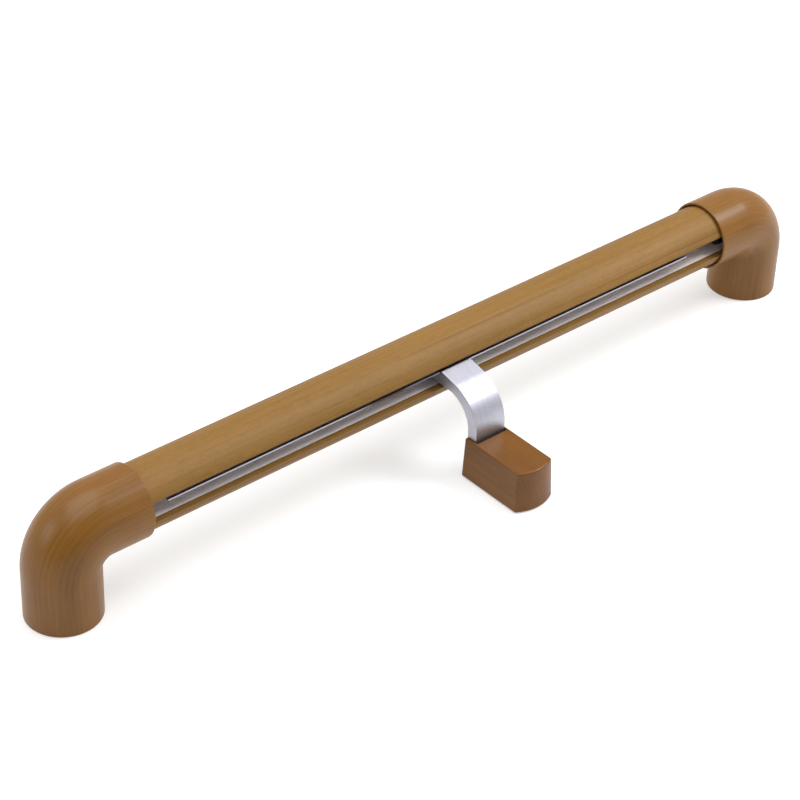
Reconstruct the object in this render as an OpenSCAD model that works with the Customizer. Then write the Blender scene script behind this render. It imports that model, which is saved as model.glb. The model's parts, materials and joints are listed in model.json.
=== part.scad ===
// Grab rail: a slotted round rail carried by two elbow posts, with one
// sliding arm that leaves the slot and ends in a covered foot.
//
// The mounting surface is the plane z = 0 and the rail runs along X, with
// its axis above the origin. The slot and the arm point towards -Y.

/* [Rail] */
// Outer diameter of the rail
rail_d = 41; // [38:0.5:42]
// Height of the rail's axis above the mounting surface
rail_h = 56; // [54:1:64]
// Thickness of the wood-look shell round the core
shell_t = 4.4; // [3.5:0.1:5]
// Width of the slot
slot_w = 13.6; // [12:0.2:14]
// Height of the slot's middle above the rail's axis
slot_rise = 1; // [0:0.5:1.5]

/* [Elbow posts] */
// Distance between the two wall screws
post_pitch = 557; // [500:1:1200]
// Outer diameter of the elbows
elbow_d = 46; // [45:0.5:46.5]
// Radius of the bend, at its centre line
bend_r = 23.5; // [23.5:0.5:28]
// Reach of each socket along the rail, from the centre of its leg
socket_reach = 49; // [45:1:56]
// Diameter of the bore in the foot of each leg
leg_bore_d = 30.2; // [28:0.1:32]
// Clearance hole for a wall screw
wall_hole_d = 5.5; // [4.5:0.5:6]

/* [Arm] */
// Width of the arm along the rail
arm_w = 23.5; // [20:0.5:25]
// Thickness of the arm
arm_t = 7.6; // [6:0.2:8]
// Outer radius of the arm's curve
arm_r = 28; // [26:1:30]
// Distance from the rail's axis to the arm's outer face at the foot
arm_reach = 52.2; // [50:0.2:56]
// Place of the arm along the rail
arm_x = -3; // [-150:1:150]
// Length of the foot plate in front of the arm
foot_l = 36; // [34:1:36]
// Distance between the two holes in the foot plate
foot_pitch = 18; // [16:1:18]

/* [Cover] */
// Height of the cover block
cover_h = 28; // [26:0.5:29]
// Width of the cover block at the mounting surface
cover_w = 30.4; // [30:0.2:33]
// Length of the cover block, to the middle of its round end
cover_l = 52.6; // [52:0.2:56]
// Sagitta of the round end
cover_sag = 4.6; // [3:0.1:5]
// How far each side leans in from bottom to top
cover_draft = 1.4; // [0.8:0.1:1.6]
// Thickness of the cover's roof
cover_roof = 3.2; // [2.5:0.1:4]

/* [Hidden] */
$fn = 96;

over = 1;              // how far cutting shapes run past a face
fit_gap = 0.06;        // radial clearance of a running fit
seat_gap = 0.1;        // clearance between parts that are only seated
slip_gap = 0.3;        // clearance round parts that slide
edge = 0.6;            // chamfer on the wooden edges
skin = 0.02;           // gap between faces that touch, so that they stay apart
small_head_d = 7;      // countersunk heads of the inner screws
small_head_h = 1.8;

post_x = post_pitch / 2;
rim_x = post_x - socket_reach;

core_d = rail_d - 2 * shell_t - 2 * seat_gap;
slot_lo = slot_rise - slot_w / 2;
slot_hi = slot_rise + slot_w / 2;
lip_back = -8.6;       // inner faces of the core's lips
chamber_y = 3.4;       // back wall of the sliding chamber
chamber_lip = 3.2;     // how far the chamber opens out behind each lip
web = 2.5;             // walls of the core
port_y = 9.4;          // screw port behind the chamber
port_d = 8.4;
port_hole_d = 4.1;

sleeve_t = 0.55;       // wall of the sleeve in each socket
sleeve_back = 4;       // how far the sleeve sits behind the rim
socket_d = rail_d + 2 * (sleeve_t + fit_gap);
socket_floor = post_x - 22;
cap_t = 2.6;           // flange of an end cap
cap_gap = 1.2;         // gap between an end cap and the socket's floor
rail_end = socket_floor - cap_gap - cap_t;
cap_plug_l = 12;
cap_inset = 2;         // how far the flange sits inside the rail's outside
cap_screw_d = 4;
cap_screw_l = 14;
spindle_d = 14;
spindle_l = 17;
liner_t = 1;
liner_front = -18.2;
liner_back = -10;
liner_rise = 0.4;      // how far the liner sits above the arm
liner_left_short = 12;  // how far the liner stops short of each elbow
liner_right_short = 31;

leg_bore_h = 32;
spigot_d = leg_bore_d - slip_gap;
spigot_h = 28;
spigot_floor = 5;
spigot_wall = 4;
leg_screw_z = 16;
leg_screw_d = 5;
leg_screw_head_d = 9.4;
leg_screw_head_h = 2.4;
leg_screw_l = 11.5;
leg_screw_sink = 0.3;  // how far its head sits below the wood
insert_d = 7.6;
insert_h = 12;
lock_d = 5;
lock_l = 12;
lock_dx = 10;          // from the centre of the leg towards the rail
lock_socket_d = 2.9;   // hexagon in the lock screw
lock_socket_h = 3;

arm_drop = 0.9;        // how far the arm hangs below the slot's middle
arm_top = rail_h + slot_rise + arm_t / 2 - arm_drop;
bend_y = arm_r - arm_reach;
bend_z = arm_top - arm_r;
root_y = liner_front - 0.5;  // the arm's raised root starts just in front of the liner
root_top = arm_top + 1.9;
root_run = [root_y - bend_y, root_top - bend_z];
root_lean = acos(arm_r / norm(root_run)) - atan2(root_run[0], root_run[1]);
head_t = 4;
head_gap = 1;          // between the head and the chamber, above and below
head_front = lip_back + slip_gap;
head_back = head_front + head_t;
head_half = slot_w / 2 + chamber_lip - head_gap;
shoe_l = 30;
shoe_pitch = 13;
shoe_screw_d = 4;
shoe_screw_l = 11;
shoe_screw_z = 6.4;    // above the slot's middle
foot_t = 4;
foot_hole_y = -arm_reach - 10;   // hole nearest the rail
sink_d = 10.6;         // countersinks for wall screws
sink_h = 2.4;

cover_lift = 0.3;
cover_end_draft = cover_draft + 0.2;
cover_back = -arm_reach + arm_t;
cover_front = cover_back - cover_l;
cavity_gap = 0.35;     // beside the arm
cavity_w = arm_w + 2 * cavity_gap;
cavity_front = -arm_reach - foot_l - 1;
cover_end_r = (pow(cover_w / 2, 2) + pow(cover_sag, 2)) / (2 * cover_sag);
cover_mid_y = cover_front + cover_end_r;
roof_edge = -arm_reach - 1;
clip_t = 2;
clip_roof_l = 28;
clip_leg_pitch = 16;

// ---------------------------------------------------------------- helpers

// An outline in the Y-Z plane, measured from the rail's axis, run along X.
module along_rail(from_x, to_x) {
    translate([from_x, 0, rail_h]) rotate([90, 0, 90]) linear_extrude(to_x - from_x) children();
}

// A bar along X, centred on the rail's axis unless moved.
module bar_x(from_x, to_x, d, y = 0, z = 0) {
    translate([from_x, y, rail_h + z]) rotate([0, 90, 0]) cylinder(h = to_x - from_x, d = d);
}

// A ring along X, centred on the rail's axis.
module tube_x(from_x, to_x, outer_d, inner_d) {
    difference() {
        bar_x(from_x, to_x, outer_d);
        bar_x(from_x - over, to_x + over, inner_d);
    }
}

// A countersunk screw pointing down -Z, its head's face at the origin.
module countersunk_screw(d, l, head_d, head_h) {
    join = 0.1;            // how far the shank runs into the head
    socket_depth = 0.6;    // of the head's height
    socket_width = 0.36;   // of the head's diameter
    difference() {
        union() {
            translate([0, 0, -l]) cylinder(h = l - head_h + join, d = d);
            translate([0, 0, -head_h]) cylinder(h = head_h, d1 = d, d2 = head_d);
        }
        translate([0, 0, -head_h * socket_depth]) cylinder(h = head_h, d = head_d * socket_width, $fn = 6);
    }
}

// The hole for such a screw, a little larger all round.
module countersink(d, depth, head_d, head_h) {
    translate([0, 0, -depth]) cylinder(h = depth + over, d = d);
    translate([0, 0, -head_h - seat_gap]) cylinder(h = head_h + seat_gap, d1 = d, d2 = head_d + 2 * seat_gap);
    cylinder(h = over, d = head_d + 2 * seat_gap);
}

// Puts a part made for the right end at both ends, or at one.
module at_left() { mirror([1, 0, 0]) children(); }
module at_both() { children(); at_left() children(); }

// ------------------------------------------------------------------- rail

module slot_gap(depth) {
    translate([-rail_d, slot_lo]) square([rail_d - depth, slot_w]);
}

module rail_shell() {
    color("#ab8452") along_rail(-rail_end, rail_end) difference() {
        circle(d = rail_d);
        circle(d = rail_d - 2 * shell_t);
        slot_gap(0);
    }
}

module core_hollow() {
    hollow_y = chamber_y + web;
    difference() {
        intersection() {
            circle(d = core_d - 2 * web);
            translate([hollow_y, -core_d / 2]) square([core_d, core_d]);
        }
        translate([port_y, 0]) circle(d = port_d);
    }
}

module rail_core() {
    color("#9c9694") along_rail(-rail_end, rail_end) difference() {
        circle(d = core_d);
        slot_gap(-lip_back);
        translate([lip_back, slot_lo - chamber_lip])
            square([chamber_y - lip_back, slot_w + 2 * chamber_lip]);
        core_hollow();
        translate([port_y, 0]) circle(d = port_hole_d);
    }
}

module slot_liner() {
    leaf_top = arm_top - rail_h + liner_rise + liner_t;
    color("#bcb9c4") along_rail(liner_left_short - rim_x, rim_x - liner_right_short) union() {
        translate([liner_front, leaf_top - liner_t]) square([liner_back - liner_front, liner_t]);
        translate([liner_back - liner_t, leaf_top - liner_t])
            square([liner_t, slot_hi - leaf_top + liner_t - skin]);
    }
}

module end_cap() {
    cap_d = rail_d - 2 * cap_inset;
    difference() {
        union() {
            bar_x(rail_end, rail_end + cap_t, cap_d);
            bar_x(rail_end, rail_end + cap_t + spindle_l, spindle_d);
            along_rail(rail_end - cap_plug_l, rail_end)
                translate([lip_back + slip_gap, slot_lo - chamber_lip + slip_gap])
                    square([chamber_y - lip_back - 2 * slip_gap, slot_w + 2 * (chamber_lip - slip_gap)]);
        }
        translate([rail_end + cap_t, port_y, rail_h]) rotate([0, 90, 0])
            countersink(port_hole_d + slip_gap, cap_t + over, small_head_d, small_head_h);
    }
}

module left_end_cap() { color("#2b2a29") at_left() end_cap(); }
module right_end_cap() { color("#2b2a29") end_cap(); }

module cap_screws() {
    color("#b7b9bb") at_both() translate([rail_end + cap_t, port_y, rail_h]) rotate([0, 90, 0])
        countersunk_screw(cap_screw_d, cap_screw_l, small_head_d, small_head_h);
}

// ----------------------------------------------------------------- elbows

module elbow_body() {
    bend_x = post_x - bend_r;
    bend_top = rail_h - bend_r;
    r = elbow_d / 2;
    // socket, with a bevelled rim
    translate([rim_x, 0, rail_h]) rotate([0, 90, 0]) {
        cylinder(h = edge, r1 = r - edge, r2 = r);
        translate([0, 0, edge]) cylinder(h = bend_x - rim_x - edge, r = r);
    }
    // quarter bend
    translate([bend_x, 0, bend_top]) rotate([90, 0, 0]) rotate_extrude(angle = 90)
        translate([bend_r, 0]) circle(r = r);
    // leg, with a bevelled foot
    translate([post_x, 0, 0]) {
        cylinder(h = edge, r1 = r - edge, r2 = r);
        translate([0, 0, edge]) cylinder(h = bend_top - edge, r = r);
    }
}

module elbow() {
    difference() {
        elbow_body();
        bar_x(rim_x - over, socket_floor, socket_d);
        // mouth of the socket, bevelled
        translate([rim_x - over, 0, rail_h]) rotate([0, 90, 0])
            cylinder(h = over + edge, d1 = socket_d + 2 * (over + edge), d2 = socket_d);
        // bearing for the rail's spindle
        bar_x(socket_floor - over, rail_end + cap_t + spindle_l + 1, spindle_d + 2 * fit_gap);
        // bore for the wall spigot, and the hole above it for the lock insert
        translate([post_x, 0, -over]) cylinder(h = leg_bore_h + over, d = leg_bore_d);
        translate([post_x - lock_dx, 0, leg_bore_h - over]) cylinder(h = rail_h - leg_bore_h, d = lock_d + 4 * seat_gap);
        translate([post_x - lock_dx, 0, leg_bore_h - over]) cylinder(h = insert_h + over + 2 * seat_gap, d = insert_d + seat_gap);
        // leg screw, from the back
        translate([post_x, elbow_d / 2 - leg_screw_sink, leg_screw_z]) rotate([-90, 0, 0])
            countersink(leg_screw_d + slip_gap, leg_screw_l + over / 2, leg_screw_head_d, leg_screw_head_h);
    }
}

module left_elbow() { color("#96693f") at_left() elbow(); }
module right_elbow() { color("#96693f") elbow(); }

module socket_sleeve() {
    tube_x(rim_x + sleeve_back, socket_floor - slip_gap, socket_d - skin, rail_d + 2 * fit_gap);
}

module left_socket_sleeve() { color("#1f1a17") at_left() socket_sleeve(); }
module right_socket_sleeve() { color("#1f1a17") socket_sleeve(); }

module lock_inserts() {
    color("#c19a4b") at_both() translate([post_x - lock_dx, 0, leg_bore_h]) difference() {
        cylinder(h = insert_h, d = insert_d);
        translate([0, 0, -over]) cylinder(h = insert_h + 2 * over, d = lock_d + seat_gap);
    }
}

module lock_screws() {
    tip = rail_h - spindle_d / 2 - seat_gap;
    color("#4a4c4f") at_both() translate([post_x - lock_dx, 0, tip - lock_l]) difference() {
        cylinder(h = lock_l, d = lock_d);
        translate([0, 0, -over]) cylinder(h = lock_socket_h + over, d = lock_socket_d, $fn = 6);
    }
}

module wall_spigot() {
    translate([post_x, 0, 0]) difference() {
        cylinder(h = spigot_h, d = spigot_d);
        translate([0, 0, spigot_floor]) cylinder(h = spigot_h, d = spigot_d - 2 * spigot_wall);
        translate([0, 0, spigot_floor]) countersink(wall_hole_d, spigot_floor + over, sink_d, sink_h);
        translate([0, 0, leg_screw_z]) rotate([-90, 0, 0]) cylinder(h = spigot_d, d = leg_screw_d + seat_gap);
    }
}

module left_wall_spigot() { color("#a9abad") at_left() wall_spigot(); }
module right_wall_spigot() { color("#a9abad") wall_spigot(); }

module leg_screws() {
    color("#8c8f92") at_both() translate([post_x, elbow_d / 2 - leg_screw_sink, leg_screw_z]) rotate([-90, 0, 0])
        countersunk_screw(leg_screw_d, leg_screw_l, leg_screw_head_d, leg_screw_head_h);
}

// ---------------------------------------------------------------- bracket

// The hooked outline of the arm, in the Y-Z plane, heights from the mounting surface.
module arm_outline() {
    // head inside the chamber, and the neck through the slot
    translate([head_front, rail_h + slot_rise - head_half]) square([head_t, 2 * head_half]);
    translate([bend_y, arm_top - arm_t]) square([head_back - bend_y, arm_t]);
    // raised root in front of the liner, which runs straight out into the curve
    polygon([
        [bend_y, arm_top - arm_t / 2],
        [root_y, arm_top - arm_t / 2],
        [root_y, root_top],
        [bend_y - arm_r * sin(root_lean), bend_z + arm_r * cos(root_lean)]
    ]);
    // quarter curve
    translate([bend_y, bend_z]) intersection() {
        difference() {
            circle(r = arm_r);
            circle(r = arm_r - arm_t);
        }
        translate([-arm_r - over, 0]) square(arm_r + over);
    }
    // leg and foot plate
    translate([-arm_reach, 0]) square([arm_t, bend_z]);
    translate([-arm_reach - foot_l, 0]) square([foot_l + arm_t, foot_t]);
}

module bracket_arm() {
    color("#c9c9d2") difference() {
        translate([arm_x - arm_w / 2, 0, 0]) rotate([90, 0, 90]) linear_extrude(arm_w) arm_outline();
        for (k = [0, 1]) translate([arm_x, foot_hole_y - k * foot_pitch, foot_t])
            countersink(wall_hole_d, foot_t + over, sink_d, sink_h);
        for (s = [-1, 1]) translate([arm_x + s * shoe_pitch / 2, head_front - over, rail_h + slot_rise + shoe_screw_z])
            rotate([-90, 0, 0]) cylinder(h = head_t + 2 * over, d = shoe_screw_d + seat_gap);
    }
}

module slide_shoe() {
    shoe_back = chamber_y - slip_gap;
    shoe_half = slot_w / 2 + chamber_lip - slip_gap;
    color("#efece4") difference() {
        translate([arm_x - shoe_l / 2, head_back + skin, rail_h + slot_rise - shoe_half])
            cube([shoe_l, shoe_back - head_back - skin, 2 * shoe_half]);
        for (s = [-1, 1]) translate([arm_x + s * shoe_pitch / 2, shoe_back, rail_h + slot_rise + shoe_screw_z])
            rotate([-90, 0, 0]) countersink(shoe_screw_d + slip_gap, shoe_back - head_back + over, small_head_d, small_head_h);
    }
}

module shoe_screws() {
    color("#b7b9bb") for (s = [-1, 1])
        translate([arm_x + s * shoe_pitch / 2, chamber_y - slip_gap, rail_h + slot_rise + shoe_screw_z])
            rotate([-90, 0, 0]) countersunk_screw(shoe_screw_d, shoe_screw_l, small_head_d, small_head_h);
}

// ------------------------------------------------------------------ cover

// Half-spaces that lean in by the draft, as big blocks to cut with.
module leaning_cut(side) {
    big = 200;
    lean = atan(cover_draft / cover_h);
    translate([arm_x + side * cover_w / 2, 0, 0]) rotate([0, -side * lean, 0])
        translate([side > 0 ? 0 : -big, -big, -big / 2]) cube([big, 2 * big, big]);
}

module cover_outside() {
    difference() {
        union() {
            translate([arm_x - cover_w, cover_mid_y, cover_lift])
                cube([2 * cover_w, cover_back - cover_mid_y, cover_h - cover_lift]);
            intersection() {
                translate([arm_x, cover_mid_y, 0])
                    cylinder(h = cover_h, r1 = cover_end_r, r2 = cover_end_r - cover_end_draft);
                translate([arm_x - cover_w, cover_front - over, cover_lift])
                    cube([2 * cover_w, cover_end_r + over, cover_h]);
            }
        }
        for (side = [-1, 1]) leaning_cut(side);
    }
}

module cover_block() {
    color("#87582f") difference() {
        cover_outside();
        // hollow over the foot plate, open below and behind
        translate([arm_x - cavity_w / 2, cavity_front, -over])
            cube([cavity_w, cover_back - cavity_front + over, cover_h - cover_roof + over]);
        // slot in the roof for the arm
        translate([arm_x - cavity_w / 2, roof_edge, 0])
            cube([cavity_w, cover_back - roof_edge + over, cover_h + over]);
    }
}

module cover_clip() {
    clip_w = cavity_w - 2 * skin;
    roof_z = cover_h - cover_roof - skin;
    color("#d8d4c8") translate([arm_x - clip_w / 2, 0, 0]) {
        translate([0, cavity_front + skin, roof_z - clip_t]) cube([clip_w, clip_roof_l, clip_t]);
        for (y = [cavity_front + skin, cavity_front + clip_leg_pitch]) translate([0, y, foot_t + slip_gap])
            cube([clip_w, clip_t, roof_z - foot_t - slip_gap]);
    }
}

// --------------------------------------------------------------- assembly

rail_shell();
rail_core();
slot_liner();
left_end_cap();
right_end_cap();
cap_screws();
left_elbow();
right_elbow();
left_socket_sleeve();
right_socket_sleeve();
lock_inserts();
lock_screws();
left_wall_spigot();
right_wall_spigot();
leg_screws();
bracket_arm();
slide_shoe();
shoe_screws();
cover_block();
cover_clip();
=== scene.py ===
# Grab rail: the looks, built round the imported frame.
import json
from math import acos, atan2, cos, hypot, pi, radians, sin

import bmesh
import bpy
from mathutils import Matrix, Vector


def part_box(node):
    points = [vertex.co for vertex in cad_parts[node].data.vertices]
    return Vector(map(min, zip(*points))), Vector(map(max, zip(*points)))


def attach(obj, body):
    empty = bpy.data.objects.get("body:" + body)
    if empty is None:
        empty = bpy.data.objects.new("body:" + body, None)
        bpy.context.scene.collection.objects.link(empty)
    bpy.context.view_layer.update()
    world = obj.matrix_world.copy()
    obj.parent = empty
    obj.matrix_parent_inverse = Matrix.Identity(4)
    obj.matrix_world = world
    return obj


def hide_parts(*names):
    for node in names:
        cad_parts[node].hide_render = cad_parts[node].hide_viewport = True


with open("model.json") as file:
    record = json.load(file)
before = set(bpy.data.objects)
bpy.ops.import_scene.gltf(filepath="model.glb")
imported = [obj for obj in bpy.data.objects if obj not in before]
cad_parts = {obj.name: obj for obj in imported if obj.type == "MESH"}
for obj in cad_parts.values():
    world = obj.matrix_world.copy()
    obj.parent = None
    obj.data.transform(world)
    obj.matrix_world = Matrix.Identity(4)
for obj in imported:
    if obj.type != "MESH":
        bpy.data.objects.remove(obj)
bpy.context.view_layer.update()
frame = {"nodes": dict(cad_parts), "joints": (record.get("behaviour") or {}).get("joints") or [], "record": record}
print("frame loaded:", len(frame["nodes"]), "nodes")

mm = 0.001
near = 1e-6  # two points closer than this are the same
smoothAngle = 35  # degrees; edges sharper than this stay crisp
axisHeight = frame["joints"][0]["pos_m"][2]  # the rail's axis, from its hinge
mounts = {m["name"]: m for m in frame["record"]["mounts"]}
postX = mounts["wall_screws"]["dims"]["spacing_x_mm"] * mm / 2
armX = mounts["foot_screws"]["pos_m"][0]


# A node's output that takes part in plain expressions.
class Wire:
    def __init__(self, graph, socket):
        self.graph = graph
        self.socket = socket

    def maths(self, operation, a, b=0.0):
        return self.graph.node("ShaderNodeMath", {"operation": operation}, {0: a, 1: b})

    def __add__(self, other):
        return self.maths("ADD", self, other)

    def __radd__(self, other):
        return self.maths("ADD", other, self)

    def __sub__(self, other):
        return self.maths("SUBTRACT", self, other)

    def __rsub__(self, other):
        return self.maths("SUBTRACT", other, self)

    def __mul__(self, other):
        return self.maths("MULTIPLY", self, other)

    def __rmul__(self, other):
        return self.maths("MULTIPLY", other, self)

    def __pow__(self, other):
        return self.maths("POWER", self, other)

    def __rpow__(self, other):
        return self.maths("POWER", other, self)

    def sine(self):
        return self.maths("SINE", self)


# A node tree, a material's or the world's, and the few nodes that every finish uses.
class Graph:
    def __init__(self, tree):
        self.tree = tree

    def node(self, kind, settings=None, inputs=None, out=0):
        made = self.tree.nodes.new(kind)
        for name, value in (settings or {}).items():
            if name == "stops":
                self.setStops(made.color_ramp.elements, value)
            else:
                setattr(made, name, value)
        for key, value in (inputs or {}).items():
            self.plug(made.inputs[key], value)
        return Wire(self, made.outputs[out])

    def setStops(self, elements, stops):
        while len(elements) < len(stops):
            elements.new(1.0)
        for element, (place, tone) in zip(elements, stops):
            element.position = place
            element.color = tone

    def plug(self, socket, value):
        if isinstance(value, Wire):
            self.tree.links.new(value.socket, socket)
        else:
            socket.default_value = value

    def place(self):
        return self.node("ShaderNodeTexCoord", out="Object")

    def attribute(self, name):
        return self.node("ShaderNodeAttribute", {"attribute_name": name}, out="Vector")

    def scaled(self, vector, scale, location=(0, 0, 0)):
        return self.node("ShaderNodeMapping", None, {
            "Vector": vector, "Scale": scale, "Location": location})

    def noise(self, vector, scale=1.0, detail=3.0, roughness=0.55, distortion=0.0):
        return self.node("ShaderNodeTexNoise", None, {
            "Vector": vector, "Scale": scale, "Detail": detail,
            "Roughness": roughness, "Distortion": distortion}, out="Fac")

    def between(self, value, low, high, toLow=0.0, toHigh=1.0):
        return self.node("ShaderNodeMapRange", {"interpolation_type": "SMOOTHSTEP"}, {
            "Value": value, "From Min": low, "From Max": high, "To Min": toLow, "To Max": toHigh})

    # the colour Mix node's factor, its two colours and its result are sockets 0, 6, 7 and 2
    def mix(self, factor, a, b):
        return self.node("ShaderNodeMix", {"data_type": "RGBA"}, {0: factor, 6: a, 7: b}, out=2)

    def ramp(self, value, stops):
        return self.node("ShaderNodeValToRGB", {"stops": stops}, {0: value})

    def split(self, vector):
        made = self.node("ShaderNodeSeparateXYZ", None, {0: vector})
        return [Wire(self, out) for out in made.socket.node.outputs]

    def bump(self, height, strength, distance):
        return self.node("ShaderNodeBump", None, {
            "Height": height, "Strength": strength, "Distance": distance})


# A material on the Principled shader, whose sockets are set by name: baseColor, roughness and so on.
class Finish(Graph):
    def __init__(self, name, **fixed):
        self.material = bpy.data.materials.new(name)
        self.material.use_nodes = True
        Graph.__init__(self, self.material.node_tree)
        self.shader = self.tree.nodes["Principled BSDF"]
        self.set(**fixed)

    def set(self, **values):
        names = {name.replace(" ", "").lower(): name for name in self.shader.inputs.keys()}
        for key, value in values.items():
            self.plug(self.shader.inputs[names[key.lower()]], value)


def colour(red, green, blue):
    return (red, green, blue, 1.0)


def dimmed(tone, share):
    return colour(*(part * share for part in tone[:3]))


foilLook = {
    "tones": [(0.32, colour(0.150, 0.073, 0.014)), (0.45, colour(0.194, 0.099, 0.021)),
              (0.56, colour(0.224, 0.116, 0.027)), (0.72, colour(0.262, 0.139, 0.035))],
    "line": colour(0.125, 0.050, 0.020), "lineDepth": 0.45,
    "pore": colour(0.13, 0.060, 0.016), "poreDepth": 0.16,
    "specular": 0.22, "roughness": 0.46}


# The rail's printed wood-look skin.
def railFoil():
    made = Finish("railFoil", specularIorLevel=foilLook["specular"])
    place = made.place()
    # long streaks, a slow drift of tone, short wavy figure and a few long reddish lines
    streaks = made.noise(made.scaled(place, (7, 520, 520)), detail=4, roughness=0.6)
    drift = made.noise(made.scaled(place, (6, 45, 45)), detail=2)
    figure = made.noise(made.scaled(place, (170, 520, 520)), detail=4, roughness=0.65, distortion=1.4)
    pores = made.noise(made.scaled(place, (60, 1900, 1900)), detail=2)
    lines = made.noise(made.scaled(place, (3.4, 300, 300), (1.3, 0.2, 0.4)), detail=1)
    tone = streaks * 0.34 + drift * 0.30 + figure * 0.36
    base = made.ramp(tone, foilLook["tones"])
    lined = made.mix(made.between(lines, 0.615, 0.665, 0.0, foilLook["lineDepth"]), base, foilLook["line"])
    final = made.mix(made.between(pores, 0.58, 0.75, 0.0, foilLook["poreDepth"]), lined, foilLook["pore"])
    made.set(baseColor=final, roughness=foilLook["roughness"] + drift * 0.12,
             normal=made.bump(streaks * 0.5 + figure * 0.5, 0.12, 0.00012))
    return made.material


# What both woods share. The ramp's stops go with a wood's four tones, dark to light.
woodLook = {"specular": 0.06, "coat": 0.46, "coatRoughness": 0.30, "roughness": 0.40,
            "stops": (0.25, 0.43, 0.57, 0.78), "fleckDepth": 0.22}
elbowLook = {
    "tones": [colour(0.114, 0.045, 0.006), colour(0.178, 0.076, 0.012),
              colour(0.218, 0.096, 0.017), colour(0.262, 0.121, 0.025)],
    "ringSpan": 0.0009, "ringDepth": 0.10, "tilt": 0.0, "wave": 0.0035}
coverLook = {
    "tones": [colour(0.086, 0.029, 0.003), colour(0.132, 0.049, 0.005),
              colour(0.166, 0.065, 0.008), colour(0.206, 0.087, 0.012)],
    "ringSpan": 0.0008, "ringDepth": 0.12, "tilt": 0.32, "wave": 0.003}


# Wood whose growth rings cross the piece as gently waving sheets: grain is measured along, across and up.
def ringedWood(name, tones, ringSpan, ringDepth, tilt, wave):
    made = Finish(name, specularIorLevel=woodLook["specular"], coatWeight=woodLook["coat"],
                  coatRoughness=woodLook["coatRoughness"])
    grain = made.attribute("grainFrame")
    across, up = made.split(grain)[1:]
    sway = made.noise(made.scaled(grain, (16, 30, 30)), detail=2)
    ripple = made.noise(made.scaled(grain, (70, 160, 160), (3.1, 1.7, 0.4)), detail=2)
    depth = across * cos(tilt) + up * sin(tilt) + (sway - 0.5) * wave + (ripple - 0.5) * wave * 0.18
    phase = depth * (2 * pi / ringSpan)
    ring = (phase.sine() * 0.5 + 0.5) ** 2.6
    broad = (phase * 0.31).sine() * 0.5 + 0.5
    fibre = made.noise(made.scaled(grain, (24, 1000, 1000)), detail=3, roughness=0.6)
    flecks = made.noise(made.scaled(grain, (220, 1900, 1900)), detail=1)
    cloud = made.noise(made.scaled(grain, (18, 34, 34), (0.7, 2.2, 5.0)), detail=2)
    tone = fibre * 0.40 + cloud * 0.46 + broad * 0.05 + 0.045
    base = made.ramp(tone, list(zip(woodLook["stops"], tones)))
    ringed = made.mix(ring * ringDepth, base, tones[0])
    final = made.mix(made.between(flecks, 0.60, 0.78, 0.0, woodLook["fleckDepth"]), ringed, tones[0])
    made.set(baseColor=final, roughness=woodLook["roughness"] + cloud * 0.14,
             normal=made.bump(fibre * 0.6 + flecks * 0.4, 0.10, 0.0001))
    return made.material


def drawnAluminium(name, tone, roughness, metallic=1.0):
    made = Finish(name, metallic=metallic)
    place = made.place()
    lines = made.noise(made.scaled(place, (10, 2600, 2600)), detail=3, roughness=0.65)
    haze = made.noise(made.scaled(place, (40, 120, 120)), detail=2)
    pale = made.mix(made.between(lines, 0.35, 0.7), dimmed(tone, 0.86), tone)
    made.set(baseColor=pale, roughness=roughness + lines * 0.1 + haze * 0.08,
             normal=made.bump(lines, 0.10, 0.00006))
    return made.material


def satinAluminium(name, dark, light, roughness):
    made = Finish(name, metallic=1.0)
    place = made.place()
    sand = made.noise(place, 2600, detail=2, roughness=0.7)
    cloud = made.noise(place, 130, detail=3)
    brushed = made.noise(made.scaled(place, (900, 60, 60)), detail=2)
    pale = made.mix(made.between(sand * 0.7 + brushed * 0.3, 0.3, 0.7), dark, light)
    made.set(baseColor=pale, roughness=roughness + cloud * 0.08 + sand * 0.06,
             normal=made.bump(sand, 0.16, 0.00008))
    return made.material


def mouldedNylon(name, tone):
    made = Finish(name, specularIorLevel=0.4)
    place = made.place()
    grain = made.noise(place, 1800, detail=2)
    cloud = made.noise(place, 90, detail=2)
    shade = made.mix(cloud, dimmed(tone, 0.8), tone)
    made.set(baseColor=shade, roughness=0.50 + cloud * 0.15, normal=made.bump(grain, 0.12, 0.0001))
    return made.material


def turnedMetal(name, tone, roughness=0.30):
    made = Finish(name, metallic=1.0)
    place = made.place()
    wear = made.noise(place, 420, detail=3)
    lines = made.noise(made.scaled(place, (300, 300, 2400)), detail=2)
    shade = made.mix(made.between(wear, 0.35, 0.7), dimmed(tone, 0.75), tone)
    made.set(baseColor=shade, roughness=roughness + wear * 0.16, normal=made.bump(lines, 0.15, 0.00006))
    return made.material


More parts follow.
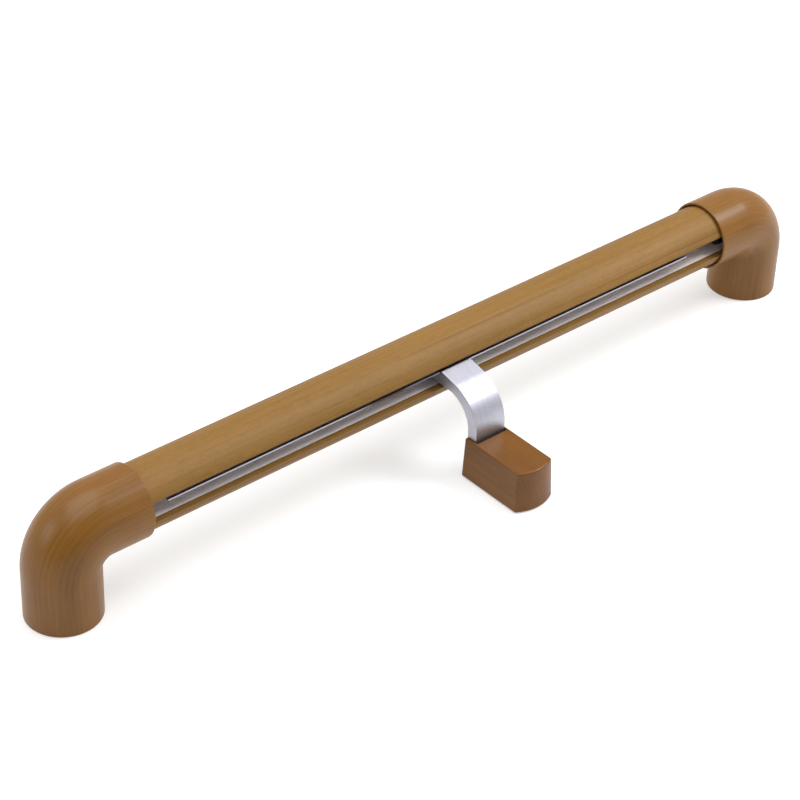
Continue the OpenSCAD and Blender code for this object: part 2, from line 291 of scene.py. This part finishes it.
foil = railFoil()
elbowWood = ringedWood("elbowWood", **elbowLook)
coverWood = ringedWood("coverWood", **coverLook)
armMetal = satinAluminium("satinAluminium", colour(0.43, 0.43, 0.49), colour(0.55, 0.55, 0.62), 0.38)
nodeFinish = {
    "rail_core": drawnAluminium("coreAluminium", colour(0.97, 0.91, 0.89), 0.55, metallic=0.05),
    "slot_liner": drawnAluminium("linerAluminium", colour(0.40, 0.39, 0.44), 0.12),
    "left_end_cap": mouldedNylon("capNylon", colour(0.030, 0.028, 0.027)),
    "left_socket_sleeve": mouldedNylon("sleeveNylon", colour(0.016, 0.013, 0.011)),
    "slide_shoe": mouldedNylon("shoeNylon", colour(0.80, 0.78, 0.72)),
    "cover_clip": mouldedNylon("clipNylon", colour(0.74, 0.72, 0.66)),
    "lock_inserts": turnedMetal("insertBrass", colour(0.78, 0.55, 0.24)),
    "lock_screws": turnedMetal("grubSteel", colour(0.17, 0.17, 0.18), 0.36),
    "left_wall_spigot": turnedMetal("spigotAluminium", colour(0.60, 0.61, 0.62), 0.36),
    "leg_screws": turnedMetal("legScrewZinc", colour(0.66, 0.67, 0.68)),
    "cap_screws": turnedMetal("capScrewZinc", colour(0.66, 0.67, 0.68)),
    "shoe_screws": turnedMetal("shoeScrewZinc", colour(0.66, 0.67, 0.68)),
}
for part in ("end_cap", "socket_sleeve", "wall_spigot"):
    nodeFinish["right_" + part] = nodeFinish["left_" + part]
for nodeName, material in nodeFinish.items():
    slots = frame["nodes"][nodeName].data.materials
    slots.clear()
    slots.append(material)
print("finishes made:", len(bpy.data.materials))


def ringEdges(verts):
    chosen = set(verts)
    return [e for e in {edge for v in verts for edge in v.link_edges}
            if e.verts[0] in chosen and e.verts[1] in chosen]


def onlyVerts(geometry):
    return [g for g in geometry if isinstance(g, bmesh.types.BMVert)]


# Grows a closed loop of edges: extrudes it and moves the new loop, so a tube gets longer or turns a corner.
def growLoop(bm, verts, move=(0, 0, 0), scale=1.0, centre=(0, 0, 0)):
    fresh = onlyVerts(bmesh.ops.extrude_edge_only(bm, edges=ringEdges(verts))["geom"])
    if scale != 1.0:
        bmesh.ops.scale(bm, vec=(scale,) * 3, verts=fresh,
                        space=Matrix.Translation(-Vector(centre)))
    bmesh.ops.translate(bm, vec=move, verts=fresh)
    return fresh


def bevelEdges(bm, edges, width, segments):
    bmesh.ops.bevel(bm, geom=list(edges), offset=width, offset_type="OFFSET", segments=segments,
                    profile=0.5, affect="EDGES", material=-1, clamp_overlap=True)


def sharpEdges(bm, angle):
    return [e for e in bm.edges if len(e.link_faces) == 2 and e.calc_face_angle(0.0) > radians(angle)]


def makePiece(name, bm, material, body, node):
    bmesh.ops.remove_doubles(bm, verts=bm.verts, dist=near)
    bmesh.ops.recalc_face_normals(bm, faces=bm.faces)
    mesh = bpy.data.meshes.new(name)
    bm.to_mesh(mesh)
    bm.free()
    mesh.materials.append(material)
    mesh.shade_smooth()
    mesh.set_sharp_from_angle(angle=radians(smoothAngle))
    piece = bpy.data.objects.new(name, mesh)
    bpy.context.scene.collection.objects.link(piece)
    modifier = piece.modifiers.new("facets", "WEIGHTED_NORMAL")
    modifier.keep_sharp = True
    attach(piece, body)
    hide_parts(node)
    print("piece", name, len(mesh.polygons), "faces")
    return piece


# Keeps where each point lies in the wood, so that the grain follows the piece.
def storeGrain(piece, rule):
    layer = piece.data.attributes.new("grainFrame", "FLOAT_VECTOR", "POINT")
    for vertex in piece.data.vertices:
        layer.data[vertex.index].vector = rule(vertex.co)


# Cuts closed shapes out of a piece and keeps the cut mesh, before its other modifiers.
def cutAway(piece, cutters):
    waiting = list(piece.modifiers)
    for modifier in waiting:
        modifier.show_viewport = False
    for bm in cutters:
        bmesh.ops.recalc_face_normals(bm, faces=bm.faces)
        mesh = bpy.data.meshes.new("cutter")
        bm.to_mesh(mesh)
        bm.free()
        cutter = bpy.data.objects.new("cutter", mesh)
        bpy.context.scene.collection.objects.link(cutter)
        cut = piece.modifiers.new("cut", "BOOLEAN")
        cut.object = cutter
        cut.operation = "DIFFERENCE"
        cut.solver = "EXACT"
        evaluated = piece.evaluated_get(bpy.context.evaluated_depsgraph_get())
        done = bpy.data.meshes.new_from_object(evaluated)
        piece.modifiers.remove(cut)
        piece.data = done
        bpy.data.objects.remove(cutter)
    for modifier in waiting:
        modifier.show_viewport = True


def boxCutter(low, high):
    bm = bmesh.new()
    low, high = Vector(low), Vector(high)
    bmesh.ops.create_cube(bm, size=1.0, matrix=Matrix.Translation((low + high) / 2)
                          @ Matrix.Diagonal((*(high - low), 1)))
    return bm


drill = {"around": 48, "past": 2.0 * mm}  # how far a hole's cutter stands out of the surface


# A countersunk hole: a shank, a cone out to the head and a short run past the surface, along one axis.
def screwHole(mouth, direction, shank, head, sink, depth):
    mouth, direction = Vector(mouth), Vector(direction)
    bm = bmesh.new()
    start = mouth - direction * depth
    turned = Matrix.Translation(start) @ direction.to_track_quat("Z", "Y").to_matrix().to_4x4()
    loop = bmesh.ops.create_circle(bm, cap_ends=True, segments=drill["around"], radius=shank,
                                   matrix=turned)["verts"]
    loop = growLoop(bm, loop, direction * (depth - sink))
    if sink:
        loop = growLoop(bm, loop, direction * sink, head / shank, mouth - direction * sink)
    loop = growLoop(bm, loop, direction * drill["past"])
    bmesh.ops.contextual_create(bm, geom=ringEdges(loop))
    return bm


# The rail's skin: a slotted tube. The slot's lips lie so far below and above the axis.
skin = {"radius": 20.5 * mm, "inner": 16.1 * mm, "slotLow": -5.8 * mm, "slotHigh": 7.8 * mm,
        "lipRound": 0.45 * mm, "steps": 120, "longEdge": 0.1}


def railSkin():
    low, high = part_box("rail_shell")
    bm = bmesh.new()
    chains = []
    for radius in (skin["radius"], skin["inner"]):
        # the arc runs from the upper lip over the top and back round to the lower lip
        depthHigh = -(radius ** 2 - skin["slotHigh"] ** 2) ** 0.5
        depthLow = -(radius ** 2 - skin["slotLow"] ** 2) ** 0.5
        startAngle = atan2(skin["slotHigh"], depthHigh)
        endAngle = atan2(skin["slotLow"], depthLow)
        start = bm.verts.new((low.x, depthHigh, axisHeight + skin["slotHigh"]))
        turn = 2 * pi - (endAngle % (2 * pi) - startAngle % (2 * pi))
        bmesh.ops.spin(bm, geom=[start], cent=(0, 0, axisHeight), axis=(1, 0, 0), angle=-turn,
                       steps=skin["steps"], use_duplicate=False)
        used = {e for chain in chains for e in chain}
        chains.append([e for e in bm.edges if e not in used])
    bmesh.ops.bridge_loops(bm, edges=chains[0] + chains[1])
    fresh = onlyVerts(bmesh.ops.extrude_face_region(bm, geom=list(bm.faces))["geom"])
    bmesh.ops.translate(bm, vec=(high.x - low.x, 0, 0), verts=fresh)
    bmesh.ops.recalc_face_normals(bm, faces=bm.faces)
    # only the lips are both sharp and long
    lips = [e for e in sharpEdges(bm, 40) if abs(e.verts[0].co.x - e.verts[1].co.x) > skin["longEdge"]]
    bevelEdges(bm, lips, skin["lipRound"], 4)
    makePiece("railSkin", bm, foil, "rail", "rail_shell")


railSkin()

# The elbows: socket, bend and leg in one turned piece of wood.
elbow = {
    "radius": 23.0 * mm,
    "bend": 23.5 * mm,  # radius of the bend's middle line
    "reach": 49.0 * mm,  # leg's middle to the socket's rim
    "rimRound": 0.8 * mm, "footRound": 0.9 * mm, "mouthRound": 0.9 * mm, "boreRound": 0.4 * mm,
    "mouth": 21.17 * mm,  # radius of the socket
    "socketFloor": 22.0 * mm,
    "legBore": 15.1 * mm, "legBoreDepth": 32.0 * mm,
    "bearing": 7.07 * mm, "bearingEnd": 273.3 * mm,  # where the rail's spindle turns
    "around": 128, "bendSteps": 56, "legSteps": 12,
    "screwHeight": 16.0 * mm, "screwHead": 4.8 * mm, "screwShank": 2.65 * mm,
    "screwSink": 2.8 * mm, "screwDepth": 12 * mm, "screwInset": 0.3 * mm}


# Grain that runs along the socket, round the bend and down the leg.
def elbowGrain(side):
    bendX, bendZ = postX - elbow["bend"], axisHeight - elbow["bend"]
    straight = elbow["reach"] - elbow["bend"]

    def rule(co):
        x, y, z = side * co.x - bendX, co.y, co.z - bendZ
        if z <= 0:
            return (straight + elbow["bend"] * pi / 2 - z, y, x - elbow["bend"])
        if x <= 0:
            return (straight + x, y, z - elbow["bend"])
        return (straight + elbow["bend"] * atan2(x, z), y, hypot(x, z) - elbow["bend"])
    return rule


# Made as the right one; side -1 mirrors it.
def makeElbow(name, side, node):
    rimX, floorX = postX - elbow["reach"], postX - elbow["socketFloor"]
    bendX, bendZ = postX - elbow["bend"], axisHeight - elbow["bend"]
    bm = bmesh.new()
    # the bearing for the spindle, the socket's floor and wall, then the outside from rim to foot
    turned = Matrix.Translation((elbow["bearingEnd"], 0, axisHeight)) @ Matrix.Rotation(pi / 2, 4, "Y")
    loop = bmesh.ops.create_circle(bm, cap_ends=True, segments=elbow["around"], radius=elbow["bearing"],
                                   matrix=turned)["verts"]
    loop = growLoop(bm, loop, (floorX - elbow["bearingEnd"], 0, 0))
    loop = growLoop(bm, loop, scale=elbow["mouth"] / elbow["bearing"], centre=(floorX, 0, axisHeight))
    loop = growLoop(bm, loop, (rimX - floorX, 0, 0))
    mouth = ringEdges(loop)
    loop = growLoop(bm, loop, scale=elbow["radius"] / elbow["mouth"], centre=(rimX, 0, axisHeight))
    rim = ringEdges(loop)
    loop = growLoop(bm, loop, (bendX - rimX, 0, 0))
    swept = bmesh.ops.spin(bm, geom=list(loop) + ringEdges(loop), cent=(bendX, 0, bendZ), axis=(0, 1, 0),
                           angle=pi / 2, steps=elbow["bendSteps"], use_duplicate=False)["geom_last"]
    loop = onlyVerts(swept)
    for step in range(elbow["legSteps"]):
        loop = growLoop(bm, loop, (0, 0, -bendZ / elbow["legSteps"]))
    foot = ringEdges(loop)
    loop = growLoop(bm, loop, scale=elbow["legBore"] / elbow["radius"], centre=(postX, 0, 0))
    boreMouth = ringEdges(loop)
    loop = growLoop(bm, loop, (0, 0, elbow["legBoreDepth"]))
    bmesh.ops.contextual_create(bm, geom=ringEdges(loop))
    bevelEdges(bm, rim, elbow["rimRound"], 5)
    bevelEdges(bm, [e for e in foot if e.is_valid], elbow["footRound"], 5)
    bevelEdges(bm, [e for e in mouth if e.is_valid], elbow["mouthRound"], 4)
    bevelEdges(bm, [e for e in boreMouth if e.is_valid], elbow["boreRound"], 2)
    if side < 0:
        bmesh.ops.transform(bm, matrix=Matrix.Scale(-1, 4, (1, 0, 0)), verts=bm.verts)
        bmesh.ops.reverse_faces(bm, faces=bm.faces)
    piece = makePiece(name, bm, elbowWood, "posts", node)
    # the leg screw goes in from the back
    screwMouth = (side * postX, elbow["radius"] - elbow["screwInset"], elbow["screwHeight"])
    cutAway(piece, [screwHole(screwMouth, (0, 1, 0), elbow["screwShank"], elbow["screwHead"],
                              elbow["screwSink"], elbow["screwDepth"])])
    storeGrain(piece, elbowGrain(side))


makeElbow("leftElbow", -1, "left_elbow")
makeElbow("rightElbow", 1, "right_elbow")

# The arm: one length of extruded aluminium, cut to width. Heights are from the floor, depths from the axis.
arm = {
    "width": 23.5 * mm, "thick": 7.6 * mm,
    "outer": 28.0 * mm,  # radius of the curve's outside
    "reach": 52.2 * mm, "top": 59.9 * mm,
    "root": -18.7 * mm, "rootTop": 61.8 * mm,  # the raised end in the slot's mouth
    "headFront": -8.3 * mm, "headThick": 4.0 * mm, "headMiddle": 57.0 * mm, "headHalf": 9.0 * mm,
    "foot": 36.0 * mm, "footThick": 4.0 * mm,
    "edgeRound": 0.35 * mm, "steps": 48,
    "holeFirst": 10.0 * mm, "holePitch": 18.0 * mm, "hole": 2.75 * mm,
    "sink": 5.4 * mm, "sinkDepth": 2.5 * mm, "holeDepth": 6 * mm,
    "shoeReach": 6.5 * mm, "shoeHeight": 63.4 * mm, "shoeHole": 2.05 * mm, "shoeMouth": 5 * mm}


def bracketArm():
    bm = bmesh.new()
    x = armX - arm["width"] / 2
    centre = Vector((x, arm["outer"] - arm["reach"], arm["top"] - arm["outer"]))

    def addEdge(a, b):
        return bm.edges.new((bm.verts.new((x, *a)), bm.verts.new((x, *b))))

    # extrudes edges of the side view, and gives the far edges back
    def pull(edges, move):
        made = bmesh.ops.extrude_edge_only(bm, edges=edges)["geom"]
        fresh = onlyVerts(made)
        bmesh.ops.translate(bm, vec=move, verts=fresh)
        return [g for g in made if isinstance(g, bmesh.types.BMEdge) and all(v in fresh for v in g.verts)]

    def edgesWhere(rule):
        return [e for e in bm.edges if all(rule(v.co) for v in e.verts)]

    # the raised root runs straight out and meets the curve at this lean
    run = Vector((arm["root"] - centre.y, arm["rootTop"] - centre.z))
    lean = acos(arm["outer"] / run.length) - atan2(run.x, run.y)

    def onCurve(radius):
        return (centre.y - radius * sin(lean), centre.z + radius * cos(lean))

    # the curve: a short edge across the bar, spun down to the vertical
    start = addEdge(onCurve(arm["outer"]), onCurve(arm["outer"] - arm["thick"]))
    outerVert, innerVert = start.verts
    spun = bmesh.ops.spin(bm, geom=[start, *start.verts], cent=centre, axis=(1, 0, 0), angle=pi / 2 - lean,
                          steps=arm["steps"], use_duplicate=False)["geom_last"]
    tip = [g for g in spun if isinstance(g, bmesh.types.BMEdge)]
    # down to the foot plate, then forward along it
    down = pull(tip, (0, 0, arm["footThick"] - centre.z))
    pull(down, (0, 0, -arm["footThick"]))
    frontEdge = edgesWhere(lambda co: abs(co.y + arm["reach"]) < near and co.z < arm["footThick"] + near)
    pull(frontEdge, (0, -arm["foot"], 0))
    # the raised root, the neck and the head behind the slot's lips
    across = addEdge((arm["root"], arm["top"]), (arm["root"], arm["top"] - arm["thick"]))
    step = bm.verts.new((x, arm["root"], arm["rootTop"]))
    upper, lower = across.verts
    joined = [bm.edges.new(ends) for ends in ((outerVert, step), (step, upper), (lower, innerVert))]
    bmesh.ops.contextual_create(bm, geom=[start, across, *joined])
    neck = pull([across], (0, arm["headFront"] - arm["root"], 0))
    pull(neck, (0, arm["headThick"], 0))
    under = arm["top"] - arm["thick"]
    topEdge = edgesWhere(lambda co: abs(co.z - arm["top"]) < near and co.y > arm["headFront"] - near)
    pull(topEdge, (0, 0, arm["headMiddle"] + arm["headHalf"] - arm["top"]))
    lowEdge = edgesWhere(lambda co: abs(co.z - under) < near and co.y > arm["headFront"] - near)
    pull(lowEdge, (0, 0, arm["headMiddle"] - arm["headHalf"] - under))
    bmesh.ops.remove_doubles(bm, verts=bm.verts, dist=near)
    fresh = onlyVerts(bmesh.ops.extrude_face_region(bm, geom=list(bm.faces))["geom"])
    bmesh.ops.translate(bm, vec=(arm["width"], 0, 0), verts=fresh)
    bmesh.ops.recalc_face_normals(bm, faces=bm.faces)
    bevelEdges(bm, sharpEdges(bm, 40), arm["edgeRound"], 3)
    piece = makePiece("bracketArm", bm, armMetal, "bracket", "bracket_arm")
    holes = [screwHole((armX, -arm["reach"] - arm["holeFirst"] - k * arm["holePitch"], arm["footThick"]),
                       (0, 0, 1), arm["hole"], arm["sink"], arm["sinkDepth"], arm["holeDepth"])
             for k in (0, 1)]
    holes += [screwHole((armX + k * arm["shoeReach"], arm["headFront"] + arm["shoeMouth"], arm["shoeHeight"]),
                        (0, 1, 0), arm["shoeHole"], arm["shoeHole"], 0, arm["holeDepth"])
              for k in (-1, 1)]
    cutAway(piece, holes)


bracketArm()

# The cover: a tapered wooden block, hollow below and open towards the arm.
cover = {
    "width": 30.4 * mm, "height": 28.0 * mm, "length": 52.6 * mm, "back": -44.6 * mm,
    "lift": 0.3 * mm,  # clear of the wall
    "sagitta": 4.6 * mm,  # how far the round end bulges
    "draft": 1.4 * mm, "endDraft": 1.6 * mm,
    "roof": 3.2 * mm, "cavity": 24.2 * mm, "cavityFront": -89.2 * mm, "roofEdge": -54.2 * mm,
    "clear": 1 * mm,  # how far the cutters pass the faces they open
    "edgeRound": 1.3 * mm, "steps": 24}


def coverBlock():
    half = cover["width"] / 2
    radius = (half ** 2 + cover["sagitta"] ** 2) / (2 * cover["sagitta"])
    front = cover["back"] - cover["length"]
    middle = Vector((armX, front + radius, cover["lift"]))
    corner = front + cover["sagitta"]
    sweep = 2 * atan2(half, middle.y - corner)
    bm = bmesh.new()
    # outline at the base: the round end is spun, the sides and back are drawn to it
    first = bm.verts.new((armX - half, corner, cover["lift"]))
    bmesh.ops.spin(bm, geom=[first], cent=middle, axis=(0, 0, 1), angle=sweep, steps=cover["steps"],
                   use_duplicate=False)
    last = max(bm.verts, key=lambda v: v.co.x)
    backLeft = bm.verts.new((armX - half, cover["back"], cover["lift"]))
    backRight = bm.verts.new((armX + half, cover["back"], cover["lift"]))
    for ends in ((first, backLeft), (last, backRight), (backLeft, backRight)):
        bm.edges.new(ends)
    bmesh.ops.contextual_create(bm, geom=bm.edges[:])
    top = onlyVerts(bmesh.ops.extrude_face_region(bm, geom=list(bm.faces))["geom"])
    bmesh.ops.translate(bm, vec=(0, 0, cover["height"] - cover["lift"]), verts=top)
    # the sides and the round end lean in towards the top
    topHalf, topRadius = half - cover["draft"], radius - cover["endDraft"]
    for v in top:
        v.co.x = armX + (v.co.x - armX) * topHalf / half
        if v.co.y < middle.y:
            v.co.y = middle.y - (topRadius ** 2 - (v.co.x - armX) ** 2) ** 0.5
    bmesh.ops.recalc_face_normals(bm, faces=bm.faces)
    bevelEdges(bm, sharpEdges(bm, 30), cover["edgeRound"], 5)
    piece = makePiece("coverBlock", bm, coverWood, "cover", "cover_block")
    # the hollow below, then the opening in the roof for the arm
    inside = cover["cavity"] / 2
    behind, above = cover["back"] + cover["clear"], cover["height"] + cover["clear"]
    cutAway(piece, [
        boxCutter((armX - inside, cover["cavityFront"], -cover["clear"]),
                  (armX + inside, behind, cover["height"] - cover["roof"])),
        boxCutter((armX - inside, cover["roofEdge"], 0), (armX + inside, behind, above))])
    storeGrain(piece, lambda co: (co.y, co.x - armX, co.z))


coverBlock()
print("pieces made")

# The floor and the room: white walls all round, but for one dim side.
studio = {
    "floor": 8.0, "floorSquares": 8, "floorDrop": 0.1 * mm,
    "floorTone": 0.60, "floorTooth": 1.015, "floorGlow": 0.44,
    "bright": 0.66, "dim": 0.03,
    "dimSide": (-0.546, -0.605, 0.58), "dimEdge": 0.38, "dimHeart": 0.90}
lamps = {
    "overhead": {"place": (-0.3, 0.1, 2.2), "aim": (0, 0, 0), "size": (2.4, 1.8), "power": 43},
    "rightHigh": {"place": (0.80, -0.42, 1.05), "aim": (0.1, 0, 0.03), "size": (0.55, 0.55), "power": 13},
    "leftBack": {"place": (-1.5, 0.6, 0.9), "aim": (0, 0, 0.03), "size": (0.9, 0.7), "power": 6}}
view = {"azimuth": -42.058, "elevation": 35.421, "roll": 2.315, "distance": 1.5136,
        "target": (-0.0304, 0.0, 0.0370), "lens": 111.9, "sensor": 36.0, "clip": (0.05, 50.0)}


def makeFloor():
    bm = bmesh.new()
    bmesh.ops.create_grid(bm, x_segments=studio["floorSquares"], y_segments=studio["floorSquares"],
                          size=studio["floor"] / 2)
    bmesh.ops.translate(bm, vec=(0, 0, -studio["floorDrop"]), verts=bm.verts)
    mesh = bpy.data.meshes.new("floor")
    bm.to_mesh(mesh)
    bm.free()
    made = Finish("floorPaper", roughness=0.9, specularIorLevel=0.0, emissionColor=colour(1.0, 1.0, 1.0),
                  emissionStrength=studio["floorGlow"])
    tooth = made.noise(made.place(), 40, detail=2)
    low, high = studio["floorTone"], studio["floorTone"] * studio["floorTooth"]
    made.set(baseColor=made.mix(tooth, colour(low, low, low), colour(high, high, high)))
    mesh.materials.append(made.material)
    floor = bpy.data.objects.new("floor", mesh)
    bpy.context.scene.collection.objects.link(floor)


def softbox(name, place, aim, size, power):
    light = bpy.data.lights.new(name, "AREA")
    light.shape = "RECTANGLE"
    light.size, light.size_y = size
    light.energy = power
    lamp = bpy.data.objects.new(name, light)
    lamp.location = place
    lamp.rotation_euler = (Vector(aim) - Vector(place)).to_track_quat("-Z", "Y").to_euler()
    bpy.context.scene.collection.objects.link(lamp)


# The dim side keeps the fronts of the round parts deep in tone.
def makeWorld():
    world = bpy.data.worlds.new("studio")
    world.use_nodes = True
    graph = Graph(world.node_tree)
    direction = graph.node("ShaderNodeTexCoord", out="Generated")
    facing = graph.node("ShaderNodeVectorMath", {"operation": "DOT_PRODUCT"},
                        {0: direction, 1: studio["dimSide"]}, out="Value")
    strength = graph.between(facing, studio["dimEdge"], studio["dimHeart"], studio["bright"], studio["dim"])
    back = world.node_tree.nodes["Background"]
    graph.plug(back.inputs["Color"], colour(1.0, 1.0, 1.0))
    graph.plug(back.inputs["Strength"], strength)
    bpy.context.scene.world = world


def makeCamera():
    a, e, r = (radians(view[k]) for k in ("azimuth", "elevation", "roll"))
    back = Vector((sin(a) * cos(e), -cos(a) * cos(e), sin(e)))
    level = Vector((0, 0, 1)).cross(back).normalized()
    upright = back.cross(level)
    right = level * cos(r) + upright * sin(r)
    up = upright * cos(r) - level * sin(r)
    data = bpy.data.cameras.new("camera")
    data.lens = view["lens"]
    data.sensor_width = view["sensor"]
    data.clip_start, data.clip_end = view["clip"]
    camera = bpy.data.objects.new("camera", data)
    camera.matrix_world = Matrix((right, up, back)).transposed().to_4x4()
    camera.location = Vector(view["target"]) + back * view["distance"]
    bpy.context.scene.collection.objects.link(camera)
    bpy.context.scene.camera = camera


makeFloor()
makeWorld()
for name, lamp in lamps.items():
    softbox(name, **lamp)
makeCamera()
bpy.context.scene.view_settings.view_transform = "Standard"
print("studio ready")
